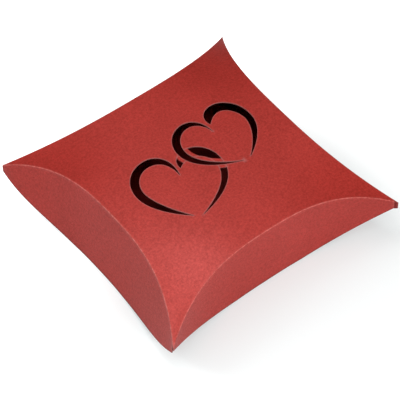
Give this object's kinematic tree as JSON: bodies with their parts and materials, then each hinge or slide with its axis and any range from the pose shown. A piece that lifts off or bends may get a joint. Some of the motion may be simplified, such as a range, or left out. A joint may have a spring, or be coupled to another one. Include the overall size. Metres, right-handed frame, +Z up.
{
  "type": "favor box",
  "caption": "Square pillow favor box of folded card: a lid with linked hearts cut through it and hanging curved flaps, over a low nested base.",
  "frame": {"origin": "centre of the flat bottom that the box stands on, at the floor", "axes": "+Z up through the lid, +X to the right and +Y to the back; the hearts read upright from the front, -Y"},
  "size_m": [0.0994, 0.0994, 0.0272],
  "materials": {
    "lid_card": "red card with a fine pearl sheen",
    "base_card": "the same red card, a little duller on the inside"
  },
  "bodies": {
    "base": {"base_panel": "base_card"},
    "lid": {"lid_panel": "lid_card"},
    "front_flap": {"lid_flap_front": "lid_card"},
    "right_flap": {"lid_flap_right": "lid_card"},
    "back_flap": {"lid_flap_back": "lid_card"},
    "left_flap": {"lid_flap_left": "lid_card"},
    "front_base_flap": {"base_flap_front": "base_card"},
    "right_base_flap": {"base_flap_right": "base_card"},
    "back_base_flap": {"base_flap_back": "base_card"},
    "left_base_flap": {"base_flap_left": "base_card"}
  },
  "joints": [
    {"name": "lid_lift", "type": "slide", "parent": "base", "child": "lid", "axis": [0, 0, 1], "range_m": [0, 0.06]},
    {"name": "front_flap_fold", "type": "hinge", "parent": "lid", "child": "front_flap", "pos_m": [0, -0.0376, 0.0264], "axis": [-1, 0, 0], "range_deg": [0, 90]},
    {"name": "right_flap_fold", "type": "hinge", "parent": "lid", "child": "right_flap", "pos_m": [0.0376, 0, 0.0264], "axis": [0, -1, 0], "range_deg": [0, 90]},
    {"name": "back_flap_fold", "type": "hinge", "parent": "lid", "child": "back_flap", "pos_m": [0, 0.0376, 0.0264], "axis": [1, 0, 0], "range_deg": [0, 90]},
    {"name": "left_flap_fold", "type": "hinge", "parent": "lid", "child": "left_flap", "pos_m": [-0.0376, 0, 0.0264], "axis": [0, 1, 0], "range_deg": [0, 90]},
    {"name": "front_base_flap_fold", "type": "hinge", "parent": "base", "child": "front_base_flap", "pos_m": [0, -0.03675, 0], "axis": [1, 0, 0], "range_deg": [0, 36]},
    {"name": "right_base_flap_fold", "type": "hinge", "parent": "base", "child": "right_base_flap", "pos_m": [0.03675, 0, 0], "axis": [0, 1, 0], "range_deg": [0, 36]},
    {"name": "back_base_flap_fold", "type": "hinge", "parent": "base", "child": "back_base_flap", "pos_m": [0, 0.03675, 0], "axis": [-1, 0, 0], "range_deg": [0, 36]},
    {"name": "left_base_flap_fold", "type": "hinge", "parent": "base", "child": "left_base_flap", "pos_m": [-0.03675, 0, 0], "axis": [0, -1, 0], "range_deg": [0, 36]}
  ],
  "couplings": [
    {"joint": "front_base_flap_fold", "follows": "front_flap_fold", "ratio": 0.4},
    {"joint": "right_base_flap_fold", "follows": "right_flap_fold", "ratio": 0.4},
    {"joint": "back_base_flap_fold", "follows": "back_flap_fold", "ratio": 0.4},
    {"joint": "left_base_flap_fold", "follows": "left_flap_fold", "ratio": 0.4}
  ]
}
